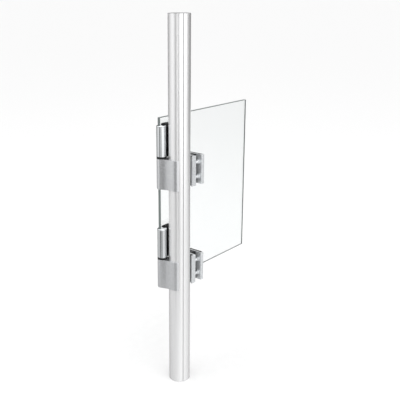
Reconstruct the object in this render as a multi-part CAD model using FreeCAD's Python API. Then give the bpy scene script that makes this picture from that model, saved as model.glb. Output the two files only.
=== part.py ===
# Round aluminium post with two lift-off hinges that carry a glass door, and
# behind the post, level with each hinge, a clamp for the edge of a fixed panel.
# Millimetres. Z runs up the post's axis from its foot. The door leaf lies along
# +Y at rest, and +X is the side on which the fixed panel is held.
import FreeCAD, Part
import math
import os

V = FreeCAD.Vector
ALONG_X = V(1, 0, 0)
ALONG_Y = V(0, 1, 0)
SMALL = 1e-4

# Post
post_length = 734.0
post_radius = 21.0
post_wall = 4.0
cover_thickness = 1.8
cover_half_angle = 60.0
cover_clearance = 0.1
seam_gap = 0.6
seam_chamfer = 0.45
insert_length = 22.0
insert_bore_radius = 5.1

# Where the hinges sit
hinge_axis_x = -25.8
hinge_axis_y = -21.7
lower_leaf_bottom = 204.5
hinge_pitch = 203.5

# Frame leaf, a casting fixed to the front of the post
leaf_height = 59.0
leaf_thickness = 3.0
leaf_lip_angle = -51.6
leaf_lip_length = 4.0
leaf_lip_edge = 1.0
leaf_lip_bulge = 0.4
knuckle_radius = 9.5
front_hollow = 60.0
rear_hollow = 6.0
leaf_chamfer = 0.3
boss_radius = 5.0
boss_reach = 3.2
boss_clearance = 0.1
seat_clearance = 0.05

# Pin and bush
pin_radius = 5.0
pin_end_gap = 7.3
pin_chamfer = 1.0
bush_wall = 1.5
bush_flange_thickness = 4.2
bush_end_gap = 4.7
running_clearance = 0.05
thrust_gap = 0.1

# Door barrel, with the tongue that carries the glass
barrel_length = 56.0
cap_thickness = 3.0
cap_chamfer = 1.1
cap_spigot_length = 8.0
cap_seam = 0.2
tongue_thickness = 4.0
tongue_depth = 40.0
tongue_inset = 6.0
tongue_offset = 4.2

# Glass and what holds it
glass_thickness = 6.0
glass_width = 284.0
glass_below_leaf = 1.0
glass_above_cap = 12.0
glass_axis_gap = 10.2
glass_front_reach = 7.5
glass_arris = 0.6
glass_hole_radius = 5.0
gasket_thickness = 1.0
gasket_inset = 1.0
carrier_thickness = 12.0
carrier_depth = 37.0
carrier_rise = 3.0
carrier_barrel_clearance = 0.15
carrier_round = 1.2
carrier_foot_gap = 0.6
clamp_plate_thickness = 4.0
clamp_plate_setback = 12.0
clamp_plate_inset = 6.0
clamp_plate_round = 1.0
clamp_screw_radius = 3.0
clamp_screw_edge = 7.0
clamp_screw_back = 23.0

# Panel clamp behind the post
bracket_sheet = 3.5
bracket_right = 12.5
bracket_left = -24.5
bracket_front = 24.0
bracket_back = 36.0
saddle_front = 12.0
saddle_right = 5.5
panel_gap = 14.0
spacer_end = 1.5
jaw_right = 14.7
jaw_sheet = 2.5
jaw_depth = 7.5
bend_radius = 1.5
panel_screw_x = 6.0
panel_screw_radius = 3.0
panel_screw_grip = 3.4
panel_screw_edge = 15.0
collar_radius = 4.5
collar_length = 3.5
frame_bolt_radius = 2.5
frame_bolt_edge = 7.5
countersink_depth = 2.5
hole_clearance = 0.2
fit_clearance = 0.05
liner_clearance = 0.1

# Screw heads
head_height = 3.2
head_overhang = 2.4
socket_depth = 1.6
socket_share = 0.75

# Worked out from the sizes above
hinge_axis = V(hinge_axis_x, hinge_axis_y, 0)
leaf_inner = post_radius + seat_clearance
leaf_outer = leaf_inner + leaf_thickness
leaf_middle = (leaf_inner + leaf_outer) / 2
lip_start_angle = leaf_lip_angle - math.degrees(leaf_lip_length / leaf_outer)
recess_floor = post_radius - cover_thickness - cover_clearance
bush_radius = pin_radius + running_clearance + bush_wall
bore_radius = bush_radius + fit_clearance
barrel_start = thrust_gap + bush_flange_thickness
barrel_end = barrel_start + barrel_length
cap_end = barrel_end + cap_seam + cap_thickness
pin_end = barrel_end - cap_spigot_length - pin_end_gap
bush_end = pin_end - bush_end_gap
carrier_end = cap_end + carrier_rise
glass_near = hinge_axis_x - glass_axis_gap
glass_far = glass_near - glass_thickness
glass_front = hinge_axis_y + glass_front_reach
carrier_left = glass_near + gasket_thickness
carrier_right = carrier_left + carrier_thickness
carrier_back = glass_front + carrier_depth
tongue_left = carrier_left + tongue_offset
tongue_right = tongue_left + tongue_thickness
tongue_back = hinge_axis_y + tongue_depth
clamp_screw_y = glass_front + clamp_screw_back
plate_near = glass_far - gasket_thickness
plate_far = plate_near - clamp_plate_thickness
plate_front = glass_front + clamp_plate_setback
web_front = bracket_back - bracket_sheet
jaw_front = bracket_back + panel_gap
jaw_back = jaw_front + jaw_depth
leaf_bottoms = {"lower": lower_leaf_bottom, "upper": lower_leaf_bottom + hinge_pitch}


def polar(radius, degrees):
    """Point at a radius and an angle from +X, at height zero."""
    turn = math.radians(degrees)
    return V(radius * math.cos(turn), radius * math.sin(turn), 0)


def box(x0, x1, y0, y1, z0, z1):
    """Box between two corners."""
    return Part.makeBox(x1 - x0, y1 - y0, z1 - z0, V(x0, y0, z0))


def rod(radius, start, end):
    """Round bar from one point to another."""
    run = end.sub(start)
    return Part.makeCylinder(radius, run.Length, start, run)


def post_rod(radius, z0, z1, centre=V(0, 0, 0)):
    """Upright round bar about an axis."""
    return Part.makeCylinder(radius, z1 - z0, V(centre.x, centre.y, z0))


def line(start, end):
    """Straight edge."""
    return Part.LineSegment(start, end).toShape()


def arc(start, middle, end):
    """Arc through three points."""
    return Part.Arc(start, middle, end).toShape()


def raise_outline(edges, z0, z1):
    """Solid raised from a closed outline drawn at height zero."""
    face = Part.Face(Part.Wire(edges))
    face.translate(V(0, 0, z0))
    return face.extrude(V(0, 0, z1 - z0))


def upright_edges(shape, x, y):
    """Vertical edges that stand at one place in plan."""
    found = []
    for edge in shape.Edges:
        b = edge.BoundBox
        upright = b.XLength < SMALL and b.YLength < SMALL
        if upright and abs(b.XMin - x) < SMALL and abs(b.YMin - y) < SMALL:
            found.append(edge)
    return found


def level_edges(shape, z):
    """Edges that lie in the level plane at height z."""
    found = []
    for edge in shape.Edges:
        b = edge.BoundBox
        if abs(b.ZMin - z) < SMALL and abs(b.ZMax - z) < SMALL:
            found.append(edge)
    return found


def pair_heights(bottom, edge):
    """Heights of a pair of screws, each as far from its end of the leaf."""
    return [bottom + edge, bottom + leaf_height - edge]


def clamp_heights(bottom):
    """Heights of the two screws through the glass, each near one end of the tongue."""
    edge = tongue_inset + clamp_screw_edge
    return [bottom + leaf_height + barrel_start + edge, bottom + leaf_height + barrel_end - edge]


def ring_sector(r_in, r_out, start, end, corner):
    """Ring sector up the post's length. A positive corner cuts its two outer
    corners back, and a negative one widens its mouth by as much."""
    turn = math.degrees(corner / r_out)
    middle = (start + end) / 2
    shoulder = r_out - abs(corner)
    return raise_outline([
        line(polar(r_in, start), polar(shoulder, start)),
        line(polar(shoulder, start), polar(r_out, start + turn)),
        arc(polar(r_out, start + turn), polar(r_out, middle), polar(r_out, end - turn)),
        line(polar(r_out, end - turn), polar(shoulder, end)),
        line(polar(shoulder, end), polar(r_in, end)),
        arc(polar(r_in, end), polar(r_in, middle), polar(r_in, start)),
    ], 0, post_length)


def hexagon(size, mouth, direction):
    """Hexagon recess that goes in from a screw head's outer face."""
    across = ALONG_Y if abs(direction.x) > 0.5 else ALONG_X
    along = direction.cross(across)
    floor = mouth - direction * socket_depth
    corners = []
    for step in range(7):
        turn = math.radians(60 * step)
        corners.append(floor + across * (size * math.cos(turn)) + along * (size * math.sin(turn)))
    face = Part.Face(Part.makePolygon(corners))
    return face.extrude(direction * (2 * socket_depth))


def pan_head(radius, seat, direction):
    """Low round screw head with a rounded rim and a hexagon socket."""
    head = Part.makeCylinder(radius + head_overhang, head_height, seat, direction)
    top = seat + direction * head_height
    rim = [e for e in head.Edges if len(e.Vertexes) == 1 and (e.CenterOfMass - top).Length < SMALL]
    head = head.makeFillet(head_height / 3, rim)
    return head.cut(hexagon(radius * socket_share, top, direction))


def post_tube():
    """Extruded tube, recessed along its front for the cover strip."""
    tube = post_rod(post_radius, 0, post_length)
    tube = tube.cut(post_rod(post_radius - post_wall, 0, post_length))
    spread = cover_half_angle + math.degrees(seam_gap / post_radius)
    tube = tube.cut(ring_sector(recess_floor, post_radius + cover_clearance,
                                -90 - spread, -90 + spread, -seam_chamfer))
    for bottom in leaf_bottoms.values():
        for z in pair_heights(bottom, frame_bolt_edge):
            axis = V(0, 0, z)
            tube = tube.cut(rod(boss_radius + boss_clearance, axis, axis - ALONG_Y * leaf_outer))
            tube = tube.cut(rod(frame_bolt_radius + hole_clearance, axis, axis + ALONG_Y * leaf_outer))
    return tube


def post_cover():
    """Clip-on strip that closes the front of the tube."""
    cover = ring_sector(post_radius - cover_thickness, post_radius,
                        -90 - cover_half_angle, -90 + cover_half_angle, seam_chamfer)
    for bottom in leaf_bottoms.values():
        for z in pair_heights(bottom, frame_bolt_edge):
            axis = V(0, 0, z)
            cover = cover.cut(rod(boss_radius + boss_clearance, axis, axis - ALONG_Y * leaf_outer))
    return cover


def foot_insert():
    """Turned plug in the foot of the tube, with a thread for a floor bolt."""
    plug = post_rod(post_radius - post_wall - fit_clearance, 0, insert_length)
    plug = plug.makeChamfer(pin_chamfer, level_edges(plug, insert_length))
    return plug.cut(post_rod(insert_bore_radius, 0, insert_length))


def hollow(radius, side):
    """Arc that touches the knuckle and the leaf's outer face from outside.
    Returns its centre, its touching points and its angle about the post."""
    span = hinge_axis.Length
    to_post = leaf_outer + radius
    to_knuckle = knuckle_radius + radius
    share = (to_post ** 2 + span ** 2 - to_knuckle ** 2) / (2 * to_post * span)
    angle = math.degrees(math.atan2(hinge_axis_y, hinge_axis_x) + side * math.acos(share))
    centre = polar(to_post, angle)
    on_knuckle = hinge_axis + (centre - hinge_axis) * (knuckle_radius / to_knuckle)
    return centre, polar(leaf_outer, angle), on_knuckle, angle


def hollow_arc(centre, radius, start, end):
    """Short arc about a centre, between its two ends."""
    bulge = (start + end) * 0.5 - centre
    return arc(start, centre + bulge * (radius / bulge.Length), end)


def lip_middle():
    """Middle of the lip's face, raised off the straight line by its bulge."""
    middle = (polar(leaf_outer, lip_start_angle) + polar(leaf_inner + leaf_lip_edge, leaf_lip_angle)) * 0.5
    return middle * (1 + leaf_lip_bulge / middle.Length)


def frame_leaf(bottom):
    """Casting: a knuckle for the pin, and a leaf that wraps the post's front
    and slopes down to a rounded lip. Bosses on its inner face take the bolts."""
    top = bottom + leaf_height
    front, front_leaf, front_knuckle, front_angle = hollow(front_hollow, 1)
    rear, rear_leaf, rear_knuckle, rear_angle = hollow(rear_hollow, -1)
    outermost = hinge_axis * (1 + knuckle_radius / hinge_axis.Length)
    leaf = raise_outline([
        arc(polar(leaf_outer, lip_start_angle), polar(leaf_outer, (lip_start_angle + front_angle) / 2),
            front_leaf),
        hollow_arc(front, front_hollow, front_leaf, front_knuckle),
        arc(front_knuckle, outermost, rear_knuckle),
        hollow_arc(rear, rear_hollow, rear_knuckle, rear_leaf),
        line(rear_leaf, polar(leaf_inner, rear_angle)),
        arc(polar(leaf_inner, rear_angle), polar(leaf_inner, (rear_angle + leaf_lip_angle) / 2),
            polar(leaf_inner, leaf_lip_angle)),
        line(polar(leaf_inner, leaf_lip_angle), polar(leaf_inner + leaf_lip_edge, leaf_lip_angle)),
        arc(polar(leaf_inner + leaf_lip_edge, leaf_lip_angle), lip_middle(),
            polar(leaf_outer, lip_start_angle)),
    ], bottom, top)
    rims = level_edges(leaf, bottom) + level_edges(leaf, top)
    leaf = leaf.makeChamfer(leaf_chamfer, rims)
    for z in pair_heights(bottom, frame_bolt_edge):
        outer = V(0, -leaf_middle, z)
        leaf = leaf.fuse(rod(boss_radius, outer, outer + ALONG_Y * (boss_reach + leaf_thickness / 2)))
        leaf = leaf.cut(rod(frame_bolt_radius + fit_clearance, outer, V(0, 0, z)))
    leaf = leaf.cut(post_rod(pin_radius + fit_clearance, bottom, top, hinge_axis))
    return leaf.removeSplitter()


def hinge_pin(bottom):
    """Pin pressed into the knuckle, standing up for the door to drop on."""
    top = bottom + leaf_height + pin_end
    pin = post_rod(pin_radius, bottom, top, hinge_axis)
    return pin.makeChamfer(pin_chamfer, level_edges(pin, top) + level_edges(pin, bottom))


def bush(bottom):
    """Flanged plastic bush: the flange carries the door, the sleeve turns."""
    start = bottom + leaf_height + thrust_gap
    top = bottom + leaf_height + bush_end
    shape = post_rod(knuckle_radius, start, start + bush_flange_thickness, hinge_axis)
    shape = shape.fuse(post_rod(bush_radius, start, top, hinge_axis))
    return shape.cut(post_rod(pin_radius + running_clearance, start, top, hinge_axis))


def barrel(bottom):
    """Turned barrel over the bush, with a tongue that reaches into the carrier."""
    low = bottom + leaf_height + barrel_start
    high = bottom + leaf_height + barrel_end
    shape = post_rod(knuckle_radius, low, high, hinge_axis)
    root = hinge_axis_y + bore_radius / 2
    shape = shape.fuse(box(tongue_left, tongue_right, root, tongue_back,
                           low + tongue_inset, high - tongue_inset))
    shape = shape.cut(post_rod(bore_radius, low, high, hinge_axis))
    for z in clamp_heights(bottom):
        shape = shape.cut(rod(clamp_screw_radius + fit_clearance,
                              V(tongue_left, clamp_screw_y, z), V(tongue_right, clamp_screw_y, z)))
    return shape


def barrel_cap(bottom):
    """Chamfered cap whose spigot closes the barrel's bore."""
    seat = bottom + leaf_height + barrel_end
    top = seat + cap_seam + cap_thickness
    cap = post_rod(knuckle_radius, seat + cap_seam, top, hinge_axis)
    cap = cap.makeChamfer(cap_chamfer, level_edges(cap, top))
    neck = post_rod(bore_radius - fit_clearance, seat - cap_spigot_length, top - cap_thickness / 2,
                    hinge_axis)
    return cap.fuse(neck).removeSplitter()


def carrier(bottom):
    """Moulded block with an arched top, between the glass and the post. It
    fits round the barrel's back and holds the tongue."""
    low = bottom + leaf_height + carrier_foot_gap
    high = bottom + leaf_height + carrier_end
    arch = carrier_thickness / 2
    middle = carrier_left + arch
    outline = Part.Wire([
        line(V(carrier_left, glass_front, low), V(carrier_right, glass_front, low)),
        line(V(carrier_right, glass_front, low), V(carrier_right, glass_front, high - arch)),
        arc(V(carrier_right, glass_front, high - arch), V(middle, glass_front, high),
            V(carrier_left, glass_front, high - arch)),
        line(V(carrier_left, glass_front, high - arch), V(carrier_left, glass_front, low)),
    ])
    block = Part.Face(outline).extrude(ALONG_Y * carrier_depth)
    block = block.makeFillet(carrier_round, upright_edges(block, carrier_right, carrier_back))
    block = block.cut(post_rod(knuckle_radius + carrier_barrel_clearance, low, high, hinge_axis))
    pocket = box(tongue_left - liner_clearance, tongue_right + liner_clearance,
                 hinge_axis_y, tongue_back + liner_clearance,
                 bottom + leaf_height + barrel_start + tongue_inset - liner_clearance,
                 bottom + leaf_height + barrel_end - tongue_inset + liner_clearance)
    block = block.cut(pocket)
    for z in clamp_heights(bottom):
        block = block.cut(rod(clamp_screw_radius + hole_clearance,
                              V(carrier_left, clamp_screw_y, z), V(tongue_right, clamp_screw_y, z)))
    return block


def gasket(bottom, x0, front, inset):
    """Thin rubber sheet between the glass and what grips it."""
    low = bottom + leaf_height + carrier_foot_gap + inset
    high = bottom + leaf_height + carrier_end - carrier_thickness / 2 - inset
    sheet = box(x0, x0 + gasket_thickness, front + gasket_inset, carrier_back - gasket_inset, low, high)
    for z in clamp_heights(bottom):
        sheet = sheet.cut(rod(clamp_screw_radius + hole_clearance,
                              V(x0, clamp_screw_y, z), V(x0 + gasket_thickness, clamp_screw_y, z)))
    return sheet


def clamp_plate(bottom):
    """Plate on the far side of the glass, with its outer rim rounded."""
    low = bottom + leaf_height + carrier_foot_gap + clamp_plate_inset
    high = bottom + leaf_height + carrier_end - carrier_thickness / 2 - clamp_plate_inset
    plate = box(plate_far, plate_near, plate_front, carrier_back, low, high)
    rim = [e for e in plate.Edges if e.BoundBox.XMax < plate_far + SMALL]
    plate = plate.makeFillet(clamp_plate_round, rim)
    for z in clamp_heights(bottom):
        plate = plate.cut(rod(clamp_screw_radius + hole_clearance,
                              V(plate_far, clamp_screw_y, z), V(plate_near, clamp_screw_y, z)))
    return plate


def clamp_screws(bottom):
    """Two screws through plate, gaskets and glass into the tongue."""
    screws = []
    for z in clamp_heights(bottom):
        seat = V(plate_far, clamp_screw_y, z)
        shank = rod(clamp_screw_radius, seat, V(tongue_right, clamp_screw_y, z))
        screws.append(shank.fuse(pan_head(clamp_screw_radius, seat, -ALONG_X)).removeSplitter())
    return Part.makeCompound(screws)


def glass_panel():
    """Toughened sheet with ground edges and a hole for each clamp screw."""
    low = leaf_bottoms["lower"] - glass_below_leaf
    high = leaf_bottoms["upper"] + leaf_height + cap_end + glass_above_cap
    sheet = box(glass_far, glass_near, glass_front, glass_front + glass_width, low, high)
    sheet = sheet.makeChamfer(glass_arris, sheet.Edges)
    for bottom in leaf_bottoms.values():
        for z in clamp_heights(bottom):
            sheet = sheet.cut(rod(glass_hole_radius,
                                  V(glass_far, clamp_screw_y, z), V(glass_near, clamp_screw_y, z)))
    return sheet


def saddle(bottom):
    """Moulded block that seats the bracket on the back of the round post."""
    block = box(bracket_left + bracket_sheet + liner_clearance, saddle_right,
                saddle_front, web_front, bottom, bottom + leaf_height)
    block = block.cut(post_rod(post_radius + seat_clearance, bottom, bottom + leaf_height))
    return cut_bolt_holes(block, bottom)


def cut_bolt_holes(shape, bottom):
    """Clearance holes for the frame bolts."""
    for z in pair_heights(bottom, frame_bolt_edge):
        shape = shape.cut(rod(frame_bolt_radius + hole_clearance, V(0, 0, z), V(0, bracket_back, z)))
    return shape


def countersink(z, clearance):
    """Cone of a countersunk head, flush with the back of the bracket."""
    small = frame_bolt_radius + clearance
    mouth = V(0, bracket_back, z)
    return Part.makeCone(small + countersink_depth, small, countersink_depth, mouth, -ALONG_Y)


def bracket(bottom):
    """Folded steel channel round the saddle, its web facing backwards."""
    top = bottom + leaf_height
    shape = box(bracket_left, bracket_right, web_front, bracket_back, bottom, top)
    shape = shape.fuse(box(bracket_right - bracket_sheet, bracket_right, bracket_front, bracket_back,
                           bottom, top))
    shape = shape.fuse(box(bracket_left, bracket_left + bracket_sheet, bracket_front, bracket_back,
                           bottom, top))
    shape = shape.removeSplitter()
    corners = upright_edges(shape, bracket_left, bracket_back)
    corners += upright_edges(shape, bracket_right, bracket_back)
    shape = shape.makeFillet(bend_radius, corners)
    shape = cut_bolt_holes(shape, bottom)
    for z in pair_heights(bottom, frame_bolt_edge):
        shape = shape.cut(countersink(z, fit_clearance))
    for z in pair_heights(bottom, panel_screw_edge):
        shape = shape.cut(rod(panel_screw_radius + fit_clearance,
                              V(panel_screw_x, web_front, z), V(panel_screw_x, bracket_back, z)))
    return shape


def frame_bolts(bottom):
    """Two countersunk bolts, from the bracket through the post to the leaf."""
    bolts = []
    for z in pair_heights(bottom, frame_bolt_edge):
        seat = V(0, bracket_back, z)
        bolt = rod(frame_bolt_radius, V(0, -leaf_middle, z), seat).fuse(countersink(z, 0))
        bolt = bolt.cut(hexagon(frame_bolt_radius * socket_share, seat, ALONG_Y))
        bolts.append(bolt.removeSplitter())
    return Part.makeCompound(bolts)


def spacer(bottom):
    """Moulded block that keeps the jaw off the bracket and stops the panel."""
    block = box(bracket_left, spacer_end, bracket_back, jaw_front, bottom, bottom + leaf_height)
    return block.makeFillet(bend_radius, upright_edges(block, spacer_end, bracket_back)
                            + upright_edges(block, spacer_end, jaw_front))


def jaw(bottom):
    """Folded steel jaw that presses the panel, its flanges facing backwards."""
    top = bottom + leaf_height
    shape = box(bracket_left, jaw_right, jaw_front, jaw_front + jaw_sheet, bottom, top)
    shape = shape.fuse(box(jaw_right - jaw_sheet, jaw_right, jaw_front, jaw_back, bottom, top))
    shape = shape.fuse(box(bracket_left, bracket_left + jaw_sheet, jaw_front, jaw_back, bottom, top))
    shape = shape.removeSplitter()
    corners = upright_edges(shape, bracket_left, jaw_front)
    corners += upright_edges(shape, jaw_right, jaw_front)
    shape = shape.makeFillet(bend_radius, corners)
    return cut_jaw_holes(shape, bottom)


def cut_jaw_holes(shape, bottom):
    """Clearance holes for the panel screws."""
    for z in pair_heights(bottom, panel_screw_edge):
        shape = shape.cut(rod(panel_screw_radius + hole_clearance,
                              V(panel_screw_x, jaw_front, z), V(panel_screw_x, jaw_back, z)))
    return shape


def jaw_core(bottom):
    """Moulded filling of the jaw, which the screw heads press on."""
    block = box(bracket_left + jaw_sheet + liner_clearance, jaw_right - jaw_sheet - liner_clearance,
                jaw_front + jaw_sheet, jaw_back, bottom, bottom + leaf_height)
    return cut_jaw_holes(block, bottom)


def panel_screws(bottom):
    """Two screws across the gap, each with a collar that backs the jaw."""
    screws = []
    for z in pair_heights(bottom, panel_screw_edge):
        seat = V(panel_screw_x, jaw_back, z)
        shank = rod(panel_screw_radius, V(panel_screw_x, bracket_back - panel_screw_grip, z), seat)
        collar = rod(collar_radius, V(panel_screw_x, jaw_front - collar_length, z),
                     V(panel_screw_x, jaw_front, z))
        screw = shank.fuse(pan_head(panel_screw_radius, seat, ALONG_Y)).fuse(collar)
        screws.append(screw.removeSplitter())
    return Part.makeCompound(screws)


def hinge_parts(side, bottom):
    """All pieces of one hinge and of the panel clamp behind it, by name."""
    pieces = {
        "frame_leaf": frame_leaf(bottom),
        "hinge_pin": hinge_pin(bottom),
        "frame_bolts": frame_bolts(bottom),
        "saddle": saddle(bottom),
        "bracket": bracket(bottom),
        "spacer": spacer(bottom),
        "jaw": jaw(bottom),
        "jaw_core": jaw_core(bottom),
        "panel_screws": panel_screws(bottom),
        "bush": bush(bottom),
        "barrel": barrel(bottom),
        "barrel_cap": barrel_cap(bottom),
        "carrier": carrier(bottom),
        "inner_gasket": gasket(bottom, glass_near, glass_front, 0),
        "outer_gasket": gasket(bottom, plate_near, plate_front, clamp_plate_inset),
        "clamp_plate": clamp_plate(bottom),
        "clamp_screws": clamp_screws(bottom),
    }
    return {side + "_" + name: shape for name, shape in pieces.items()}


parts = {
    "post_tube": post_tube(),
    "post_cover": post_cover(),
    "foot_insert": foot_insert(),
    "glass_panel": glass_panel(),
}
for side, bottom in leaf_bottoms.items():
    parts.update(hinge_parts(side, bottom))

os.makedirs("parts", exist_ok=True)
for name, shape in parts.items():
    print(name, "solids", len(shape.Solids), "valid", shape.isValid(), "cm3", round(shape.Volume / 1000, 2))
    shape.exportStep("parts/" + name + ".step")
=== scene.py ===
# %% [markdown]
# # A lift-off glass door hinge on a round post
# The object is a short piece of a glass partition: an aluminium post, two
# hinges whose barrels drop onto pins, the glass door leaf that they carry, and
# two clamps behind the post for the edge of a fixed panel.
#
# The CAD frame says where every piece is, so this script only gives each piece
# its finished surface. Triangles from the CAD are too coarse for polished
# metal, where a reflection shows every facet, so each visible piece is made
# again as a smooth surface in the same place. Units are metres, Z is up.

import bmesh
import bpy
import numpy as np
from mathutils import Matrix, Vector


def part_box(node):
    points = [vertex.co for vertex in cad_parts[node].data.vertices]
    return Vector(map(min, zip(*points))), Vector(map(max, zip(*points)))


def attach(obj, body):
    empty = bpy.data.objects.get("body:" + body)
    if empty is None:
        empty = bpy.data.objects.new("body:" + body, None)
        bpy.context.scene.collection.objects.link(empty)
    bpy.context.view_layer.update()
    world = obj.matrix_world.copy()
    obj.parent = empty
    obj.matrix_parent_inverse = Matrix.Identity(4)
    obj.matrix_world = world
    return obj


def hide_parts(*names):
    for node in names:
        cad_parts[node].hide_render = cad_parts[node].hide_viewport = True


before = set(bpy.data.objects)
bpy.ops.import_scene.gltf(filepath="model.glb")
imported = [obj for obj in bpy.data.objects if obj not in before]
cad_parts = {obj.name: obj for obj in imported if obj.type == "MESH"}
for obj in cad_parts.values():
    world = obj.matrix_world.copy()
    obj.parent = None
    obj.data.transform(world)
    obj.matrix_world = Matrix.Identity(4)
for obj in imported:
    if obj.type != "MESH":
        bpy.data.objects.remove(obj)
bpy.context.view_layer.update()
MM = 0.001
SIDES = ("lower", "upper")
print("CAD pieces:", len(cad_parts))


def corners(node):
    """Lowest and highest corner of a CAD piece, as two arrays."""
    low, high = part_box(node)
    return np.array(low), np.array(high)


# %% [markdown]
# ## From grids to meshes
# Every surface below is a grid: one parameter runs along a profile, the other
# carries that profile along a path. Numpy works out all points at once, and
# the faces follow from the row and column numbers. Building this way keeps the
# shape's formula in one place, and any size can change without remodelling.

# %% A mesh from rows of points
SHARP_ANGLE = np.radians(38)
SAME_PLACE = 1e-7


def shade(mesh):
    """Smooth shading, but edges sharper than one set angle stay crisp."""
    mesh.shade_smooth()
    mesh.set_sharp_from_angle(angle=SHARP_ANGLE)


def into_scene(name, data):
    """Object for a mesh, lamp or camera, linked to the scene."""
    obj = bpy.data.objects.new(name, data)
    bpy.context.scene.collection.objects.link(obj)
    return obj


def piece_from_mesh(name, points, faces):
    """Object from points and faces, with its normals outwards."""
    mesh = bpy.data.meshes.new(name)
    mesh.from_pydata(points.tolist(), [], faces)
    work = bmesh.new()
    work.from_mesh(mesh)
    bmesh.ops.remove_doubles(work, verts=work.verts, dist=SAME_PLACE)
    bmesh.ops.recalc_face_normals(work, faces=work.faces)
    work.to_mesh(mesh)
    work.free()
    shade(mesh)
    return into_scene(name, mesh)


def grid_faces(rows, columns, close_rows=False):
    """Quads between neighbouring rows. Columns always close on themselves."""
    row = np.arange(rows if close_rows else rows - 1)[:, None]
    column = np.arange(columns)[None, :]
    ahead = (column + 1) % columns
    above = (row + 1) % rows
    quads = [row * columns + column, row * columns + ahead, above * columns + ahead, above * columns + column]
    return np.stack(np.broadcast_arrays(*quads), -1).reshape(-1, 4).tolist()


# %% [markdown]
# ## Turned pieces
# Barrels, caps, pins and screws are turned on a lathe. A point of such a piece
# is a profile point, at a distance from the axis and a height along it, turned
# about the axis. Small rounds at the profile's corners matter more than they
# look: on real metal they are what catches the light.

# %% Turned surfaces
AXES = {"+x": (1, 0, 0), "-x": (-1, 0, 0), "+y": (0, 1, 0), "+z": (0, 0, 1)}


def side_axes(direction):
    """Two unit vectors that are square to an axis and to each other."""
    run = np.array(AXES[direction], float)
    first = np.array((0.0, 0.0, 1.0)) if abs(run[2]) < 0.5 else np.array((1.0, 0.0, 0.0))
    return run, first, np.cross(run, first)


def turned(name, profile, origin, direction="+z", steps=96, threads=None):
    """Surface of revolution: origin + height * axis + radius * (cos turn, sin
    turn). A closed profile gives a ring, an open one starts and ends on the
    axis. threads, if given, lowers the radius by a function of height and turn."""
    run, first, second = side_axes(direction)
    profile = np.array(profile, float)
    turn = np.linspace(0, 2 * np.pi, steps, endpoint=False)
    radius = np.repeat(profile[:, :1], steps, 1)
    height = np.repeat(profile[:, 1:], steps, 1)
    if threads is not None:
        radius = radius - threads(radius, height, turn[None, :])
    around = np.cos(turn)[:, None] * first + np.sin(turn)[:, None] * second
    points = np.array(origin) + height[..., None] * run + radius[..., None] * around[None]
    hollow = profile[:, 0].min() > SAME_PLACE
    faces = grid_faces(len(profile), steps, close_rows=hollow)
    return piece_from_mesh(name, points.reshape(-1, 3), faces)


def rounded(corner_points, radii, steps=5, closed=True):
    """Polygon whose corners are rounded: each corner is replaced by an arc
    that touches both of its sides. The arc's centre lies on the line that
    halves the corner, at radius / sin(half the corner's angle)."""
    corner_points = np.array(corner_points, float)
    count = len(corner_points)
    radii = np.broadcast_to(radii, count)
    share = np.linspace(0, 1, steps)[:, None]
    parts = []
    for index in range(count):
        here = corner_points[index]
        if radii[index] == 0 or (not closed and index in (0, count - 1)):
            parts.append(here[None])
            continue
        back = corner_points[index - 1] - here
        ahead = corner_points[(index + 1) % count] - here
        back /= np.linalg.norm(back)
        ahead /= np.linalg.norm(ahead)
        half = np.arccos(np.clip(back @ ahead, -1, 1)) / 2
        reach = radii[index] / np.tan(half)
        centre = here + (back + ahead) / np.linalg.norm(back + ahead) * radii[index] / np.sin(half)
        start = here + back * reach - centre
        end = here + ahead * reach - centre
        sweep = np.pi - 2 * half
        parts.append(centre + (np.sin((1 - share) * sweep) * start + np.sin(share * sweep) * end) / np.sin(sweep))
    return np.concatenate(parts)


# %% [markdown]
# ## Pieces raised from an outline
# Extrusions, folded sheets and moulded blocks all have one section along their
# length. The outline is drawn once, copied along the length, and drawn in a
# little at both ends, which leaves a fine rounded rim, as deburring does.

# %% Raised surfaces
def inward(outline):
    """Inset directions of a closed outline that runs anticlockwise: moving
    each point by one such step moves both sides that meet there in by one."""
    back = outline - np.roll(outline, 1, 0)
    ahead = np.roll(outline, -1, 0) - outline
    back /= np.linalg.norm(back, axis=1, keepdims=True)
    ahead /= np.linalg.norm(ahead, axis=1, keepdims=True)
    left_of_back = np.stack([-back[:, 1], back[:, 0]], 1)
    left_of_ahead = np.stack([-ahead[:, 1], ahead[:, 0]], 1)
    return (left_of_back + left_of_ahead) / (1 + (left_of_back * left_of_ahead).sum(1, keepdims=True))


def anticlockwise(outline):
    """The same outline, turned round if its signed area is negative."""
    x, y = outline.T
    area = (x * np.roll(y, -1) - y * np.roll(x, -1)).sum()
    return outline if area > 0 else outline[::-1]


def rim_rows(outline, start, end, rim, steps=4):
    """Rows of a raised outline: at each end the inset is rim * (1 - sin t) at
    a height rim * (1 - cos t), for t from 0 to a quarter turn. A negative rim
    widens a hole's mouth."""
    turn = np.linspace(0, np.pi / 2, steps)
    inset = rim * (1 - np.sin(turn))
    rise = abs(rim) * (1 - np.cos(turn))
    insets = np.concatenate([inset, inset[::-1]])
    heights = np.concatenate([start + rise, end - rise[::-1]])
    flat = outline[None] + insets[:, None, None] * inward(outline)[None]
    return flat, np.broadcast_to(heights[:, None], flat.shape[:2])


PLANES = {"z": (0, 1, 2), "y": (0, 2, 1), "x": (1, 2, 0)}


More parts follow.
